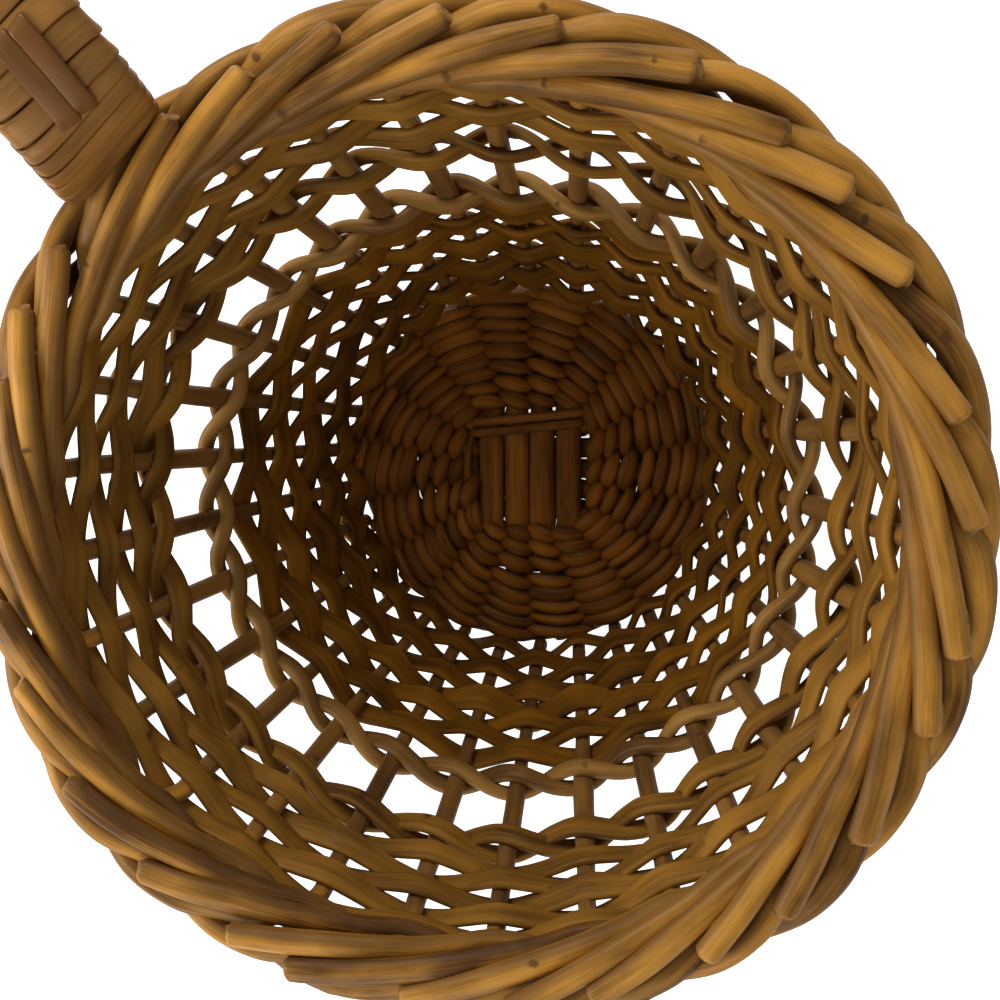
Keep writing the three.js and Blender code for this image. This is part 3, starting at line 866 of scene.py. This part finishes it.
def layHandleRods():
    for n in range(handleRods["count"]):
        aside = (n - (handleRods["count"] - 1) / 2) * handleRods["pitch"]
        stops = []
        for distance in np.linspace(0, strapLength, handleRods["stops"]):
            at, look = onStrap(distance, 0, aside)
            stops.append([*at, *look, 1, 1])
        layRod(
            f"handleRod{n + 1}", f"handle_rod_{n + 1}", stops, handleRods["section"],
            handleRods["seed"] + n, finishes["borderWillow"],
        )


halfThick = handleRods["section"]["width"] / 2 + wrap["section"]["thickness"] / 2
halfWide = (handleRods["count"] - 1) / 2 * handleRods["pitch"] + halfThick


def layWrap():
    # Closer turns at the foot, then even ones
    stops = []
    distance = wrap["from"]
    step = wrap["stopsPerTurn"] // 2
    flat = 2 / wrap["squareness"]
    while distance < strapLength - wrap["to"]:
        turn = 2 * math.pi * step / wrap["stopsPerTurn"]
        aside = halfWide * np.sign(math.sin(turn)) * abs(math.sin(turn)) ** flat
        out = halfThick * np.sign(math.cos(turn)) * abs(math.cos(turn)) ** flat
        gone = distance - wrap["from"]
        place = distance - wrap["fan"] * max(1 - gone / wrap["openedBy"], 0) * aside
        at, look = onStrap(place, out, aside)
        middle, _ = onStrap(place, 0, aside * wrap["looksFrom"])
        opened = min(max((gone - wrap["closeFor"]) / (wrap["openedBy"] - wrap["closeFor"]), 0), 1)
        pitch = wrap["footPitch"] + (wrap["pitch"] - wrap["footPitch"]) * opened
        ahead = onStrap(place + 1, 0, 0)[0] - onStrap(place, 0, 0)[0]
        tilted = at - middle + ahead * wrap["shingle"]
        stops.append([*at, *tilted, pitch / wrap["pitch"], 1])
        distance += pitch / wrap["stopsPerTurn"]
        step += 1
    layRod(
        "handleWrap", "handle_wrap", stops, wrap["section"], wrap["seed"], finishes["handleCane"],
    )


def layStrips():
    # They come out from under the closer turns, and then run over five turns and under one, repeatedly
    section = laidStrip["section"]
    over = halfThick + wrap["section"]["thickness"] / 2 + section["thickness"] / 2
    half = laidStrip["period"] / 2
    for n in range(2):
        aside = (n - 0.5) * (section["width"] + laidStrip["space"])
        first = wrap["from"] + laidStrip["from"]
        last = strapLength - wrap["to"] - laidStrip["to"]
        stops = []
        for distance in np.arange(first + laidStrip["next"] * n, last, laidStrip["stopEvery"]):
            turns = (distance - wrap["from"]) / wrap["pitch"]
            fromMiddle = abs((turns % laidStrip["period"]) - half)
            under = np.clip((fromMiddle - laidStrip["overFor"]) / laidStrip["dive"], 0, 1)
            begun = distance - wrap["from"] - laidStrip["from"]
            under = max(under, 1 - begun / laidStrip["comesOut"])
            at, look = onStrap(distance, over - laidStrip["hides"] * under, aside)
            stops.append([*at, *look, 1, 1])
        layRod(
            f"handleStrip{n + 1}", f"handle_lay_strip_{n + 1}", stops, section, laidStrip["seed"] + n,
            finishes["handleStrip"],
        )


layHandleRods()
layWrap()
layStrips()
print("handle laid")


# Camera: above the mouth, looking nearly straight down, with the handle at the upper left
shot = {
    "handleAzimuth": 130.0,  # where the handle points in the picture, in degrees from its right edge
    "across": 48.6, "up": 41.7, "above": 243.0,  # from the middle of the rim
    "rimHeight": 96.0,
    "focal": 1400.0, "frame": 1000.0,  # in pixels
    "plumb": (235.6, 206.9),  # where straight down lies from the picture's middle, right and up, in pixels
    "sensor": 36,
    "nearest": 0.01,  # what is closer than this isn't drawn, in metres
}


def placeCamera():
    right = Vector(around(-shot["handleAzimuth"], 1, 0))
    up = Vector(around(90 - shot["handleAzimuth"], 1, 0))
    camera = bpy.data.objects.new("photoCamera", bpy.data.cameras.new("photoCamera"))
    bpy.context.scene.collection.objects.link(camera)
    place = right * shot["across"] + up * shot["up"] + Vector((0, 0, shot["rimHeight"] + shot["above"]))
    x, y = (value / shot["focal"] for value in shot["plumb"])
    # Straight down, seen by the camera, is (x, y, -1): the turn that brings it there
    down = Vector((x, y, -1)).normalized()
    level = Matrix((right, up, Vector((0, 0, 1)))).transposed()
    tilt = Vector((0, 0, -1)).rotation_difference(down).to_matrix()
    camera.matrix_world = Matrix.Translation(place * mm) @ (level @ tilt.inverted()).to_4x4()
    camera.data.sensor_fit = "HORIZONTAL"
    camera.data.sensor_width = shot["sensor"]
    camera.data.lens = shot["sensor"] * shot["focal"] / shot["frame"]
    camera.data.clip_start = shot["nearest"]
    bpy.context.scene.camera = camera


placeCamera()

# Light: soft lamps round the basket and low enough to leave its inside in shade, over a pale floor
light = {
    "lamps": [  # azimuth in the picture, elevation, watts, size
        (190, 30, 4.5, 0.5), (110, 35, 3.8, 0.5), (260, 32, 2.6, 0.5), (10, 40, 0.3, 0.5),
    ],
    "distance": 0.9,
    "aim": (0, 0, 0.06),
    "sky": 0.31,
    "floorSize": 6, "floorHeight": -0.0001, "floorColour": (0.9, 0.9, 0.9, 1), "floorRoughness": 0.9,
    "floorGlow": 0.8,  # for the camera alone
}


def lightLamps():
    for number, (azimuth, elevation, power, size) in enumerate(light["lamps"]):
        lamp = bpy.data.lights.new(f"softLamp{number + 1}", "AREA")
        lamp.energy = power
        lamp.size = size
        holder = bpy.data.objects.new(lamp.name, lamp)
        bpy.context.scene.collection.objects.link(holder)
        level = math.cos(math.radians(elevation)) * light["distance"]
        height = math.sin(math.radians(elevation)) * light["distance"]
        holder.location = Vector(around(azimuth - shot["handleAzimuth"], level, height))
        aim = Vector(light["aim"]) - holder.location
        holder.rotation_euler = aim.to_track_quat("-Z", "Y").to_euler()


def lightRoom():
    world = bpy.data.worlds.new("paleRoom")
    bpy.context.scene.world = world
    world.use_nodes = True
    tree = world.node_tree
    back = tree.nodes["Background"]
    back.inputs["Color"].default_value = (1, 1, 1, 1)
    path = tree.nodes.new("ShaderNodeLightPath")
    seen = mathNode(tree, "MAXIMUM", path.outputs["Is Camera Ray"], path.outputs["Is Transmission Ray"])
    tree.links.new(ranged(tree, seen, 0, 1, light["sky"], 1), back.inputs["Strength"])


def layFloor():
    bpy.ops.mesh.primitive_plane_add(size=light["floorSize"], location=(0, 0, light["floorHeight"]))
    floor = bpy.context.object
    floor.name = "paleFloor"
    material = bpy.data.materials.new("paleFloor")
    material.use_nodes = True
    tree = material.node_tree
    shader = tree.nodes["Principled BSDF"]
    shader.inputs["Base Color"].default_value = light["floorColour"]
    shader.inputs["Roughness"].default_value = light["floorRoughness"]
    shader.inputs["Emission Color"].default_value = (1, 1, 1, 1)
    path = tree.nodes.new("ShaderNodeLightPath")
    glow = mathNode(tree, "MULTIPLY", path.outputs["Is Camera Ray"], light["floorGlow"])
    tree.links.new(glow, shader.inputs["Emission Strength"])
    floor.data.materials.append(material)


lightLamps()
lightRoom()
layFloor()
print("camera and light placed")
bpy.context.scene.view_settings.view_transform = "Standard"
